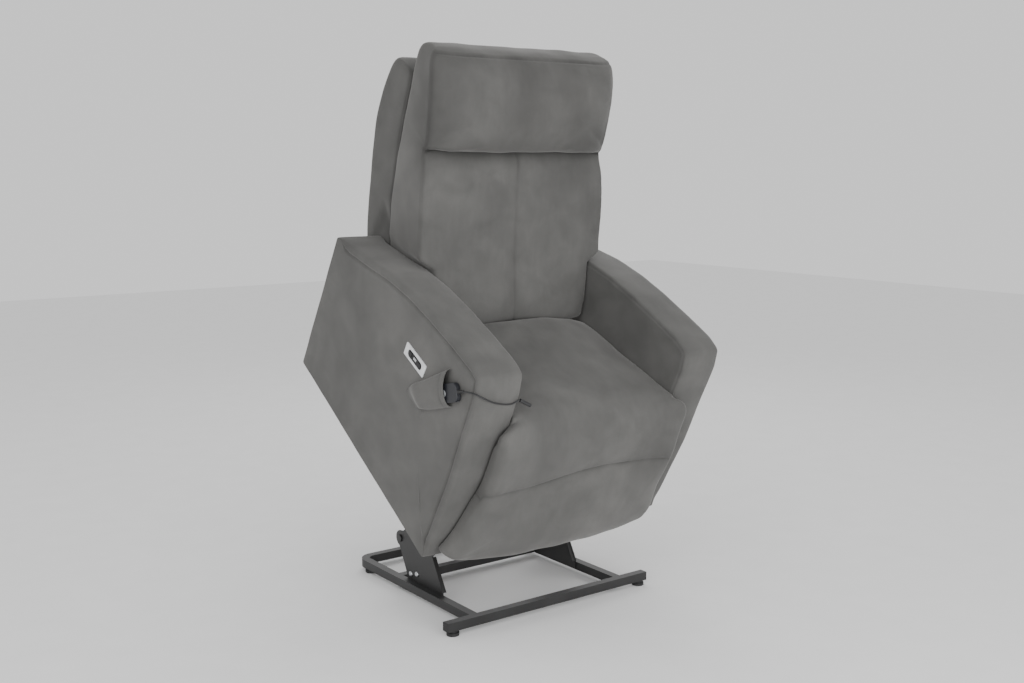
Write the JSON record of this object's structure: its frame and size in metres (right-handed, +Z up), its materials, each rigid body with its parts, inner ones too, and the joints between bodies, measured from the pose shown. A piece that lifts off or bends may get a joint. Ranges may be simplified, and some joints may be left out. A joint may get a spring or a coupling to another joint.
{
  "type": "lift recliner chair",
  "caption": "Powered lift recliner with tilting lift base, reclining padded back, fold-out legrest, side control panel and corded handset in an arm pocket.",
  "frame": {"origin": "floor level under the middle of the chair's overall box, on the left-right symmetry plane of the frame", "axes": "+Z up, -Y the way the sitter faces, +X the sitter's left"},
  "size_m": [0.8598, 0.9547, 1.6021],
  "materials": {
    "base_steel": "satin black powder coat",
    "black_plastic": "fine matt texture",
    "bright_steel": "zinc plated",
    "nylon": "natural nylon",
    "motor_paint": "semi-gloss black",
    "actuator_aluminium": "anodised",
    "frame_wood": "bare plywood",
    "lining_cloth": "woven black",
    "upholstery": "brushed grey suede cloth with cloudy shading",
    "silver_plastic": "satin silver white",
    "pale_plastic": "pale grey",
    "handset_plastic": "dark blue grey",
    "button_plastic": "mid grey",
    "cord_jacket": "black jacket"
  },
  "bodies": {
    "base": {"base_front_tube": "base_steel", "base_end_caps": "black_plastic", "base_u_frame": "base_steel", "base_cross_tube": "base_steel", "base_brackets": "base_steel", "bracket_bolts": "bright_steel", "base_glides": "black_plastic", "base_pivot_pins": "base_steel", "lift_actuator_clevis": "base_steel"},
    "front_links": {"front_lift_links": "base_steel", "front_link_bushings": "nylon"},
    "rear_links": {"rear_lift_links": "base_steel", "rear_link_bushings": "nylon"},
    "lift_actuator": {"lift_actuator_gearbox": "black_plastic", "lift_actuator_motor": "motor_paint", "lift_actuator_tube": "actuator_aluminium"},
    "lift_rod": {"lift_actuator_rod": "bright_steel"},
    "chair": {"chair_side_plates": "base_steel", "chair_pivot_pins": "bright_steel", "chair_cross_tubes": "base_steel", "seat_side_rails": "frame_wood", "seat_cross_rails": "frame_wood", "seat_springs": "bright_steel", "seat_deck": "lining_cloth", "seat_cushion": "upholstery", "seat_front_fold": "upholstery", "seat_steel_brackets": "base_steel", "arm_upholstery_left": "upholstery", "arm_upholstery_right": "upholstery", "arm_boards": "frame_wood", "arm_bolts": "bright_steel", "rear_apron": "upholstery", "rear_flap": "upholstery", "power_supply": "black_plastic", "power_inlet": "black_plastic", "panel_bezel": "silver_plastic", "panel_insert": "black_plastic", "panel_usb_socket": "pale_plastic", "handset_pocket": "upholstery", "handset_case": "handset_plastic", "handset_cord": "cord_jacket", "cord_connector": "cord_jacket", "legrest_gearmotor": "motor_paint"},
    "panel_button_front": {"panel_button_front": "black_plastic"},
    "panel_button_rear": {"panel_button_rear": "black_plastic"},
    "handset_button_up": {"handset_button_up": "button_plastic"},
    "handset_button_down": {"handset_button_down": "button_plastic"},
    "recline_actuator": {"recline_actuator_housing": "black_plastic", "recline_actuator_motor": "motor_paint"},
    "recline_rod": {"recline_actuator_rod": "bright_steel"},
    "back": {"back_cushion": "upholstery", "headrest_pillow": "upholstery", "outer_back": "upholstery", "back_frame": "frame_wood", "back_webbing": "lining_cloth", "back_steel_brackets": "base_steel"},
    "legrest": {"legrest_board": "frame_wood", "legrest_pad": "upholstery", "legrest_lower_band": "upholstery", "legrest_hinge_shaft": "bright_steel"}
  },
  "joints": [
    {"name": "lift", "type": "hinge", "parent": "base", "child": "rear_links", "pos_m": [0, 0.1919, 0.1525], "axis": [1, 0, 0], "range_deg": [0, 51.7]},
    {"name": "chair_tilt", "type": "hinge", "parent": "rear_links", "child": "chair", "pos_m": [0, -0.06189, 0.33432], "axis": [1, 0, 0], "range_deg": [-85.3, 0.2]},
    {"name": "front_link_swing", "type": "hinge", "parent": "base", "child": "front_links", "pos_m": [0, -0.0327, 0.185], "axis": [1, 0, 0], "range_deg": [-0.3, 71.8]},
    {"name": "lift_actuator_swing", "type": "hinge", "parent": "base", "child": "lift_actuator", "pos_m": [0, 0.3918, 0.0803], "axis": [1, 0, 0], "range_deg": [-0.2, 38.1]},
    {"name": "lift_actuator_stroke", "type": "slide", "parent": "lift_actuator", "child": "lift_rod", "axis": [0, -0.7883, 0.6152], "range_m": [-0.0812, 0.0002]},
    {"name": "recline", "type": "hinge", "parent": "chair", "child": "back", "pos_m": [0, 0.17193, 0.82987], "axis": [-1, 0, 0], "range_deg": [0, 35], "deforming": ["rear_flap"]},
    {"name": "recline_actuator_swing", "type": "hinge", "parent": "chair", "child": "recline_actuator", "pos_m": [0, -0.01476, 0.65886], "axis": [-1, 0, 0], "range_deg": [-0.1, 4.2]},
    {"name": "recline_actuator_stroke", "type": "slide", "parent": "recline_actuator", "child": "recline_rod", "axis": [0, 0.8688, 0.4952], "range_m": [-0.0396, 0.0002]},
    {"name": "legrest", "type": "hinge", "parent": "chair", "child": "legrest", "pos_m": [0, -0.39294, 0.57479], "axis": [-1, 0, 0], "range_deg": [0, 85], "deforming": ["seat_front_fold"]},
    {"name": "panel_button_front_press", "type": "slide", "parent": "chair", "child": "panel_button_front", "axis": [1, 0, 0], "range_m": [0, 0.0012], "stiffness_N_per_m": 900, "springref_m": -0.0006},
    {"name": "panel_button_rear_press", "type": "slide", "parent": "chair", "child": "panel_button_rear", "axis": [1, 0, 0], "range_m": [0, 0.0012], "stiffness_N_per_m": 900, "springref_m": -0.0006},
    {"name": "handset_button_up_press", "type": "slide", "parent": "chair", "child": "handset_button_up", "axis": [1, 0, 0], "range_m": [0, 0.0008], "stiffness_N_per_m": 900, "springref_m": -0.0006},
    {"name": "handset_button_down_press", "type": "slide", "parent": "chair", "child": "handset_button_down", "axis": [1, 0, 0], "range_m": [0, 0.0008], "stiffness_N_per_m": 900, "springref_m": -0.0006}
  ],
  "couplings": [
    {"joint": "chair_tilt", "follows": "lift", "ratio": -1.646},
    {"joint": "front_link_swing", "follows": "lift", "ratio": 1.3814},
    {"joint": "lift_actuator_swing", "follows": "lift", "ratio": 0.73249},
    {"joint": "lift_actuator_stroke", "follows": "lift", "m_per_rad": -0.089412},
    {"joint": "recline_actuator_swing", "follows": "recline", "ratio": 0.11584},
    {"joint": "recline_actuator_stroke", "follows": "recline", "m_per_rad": -0.06414}
  ]
}
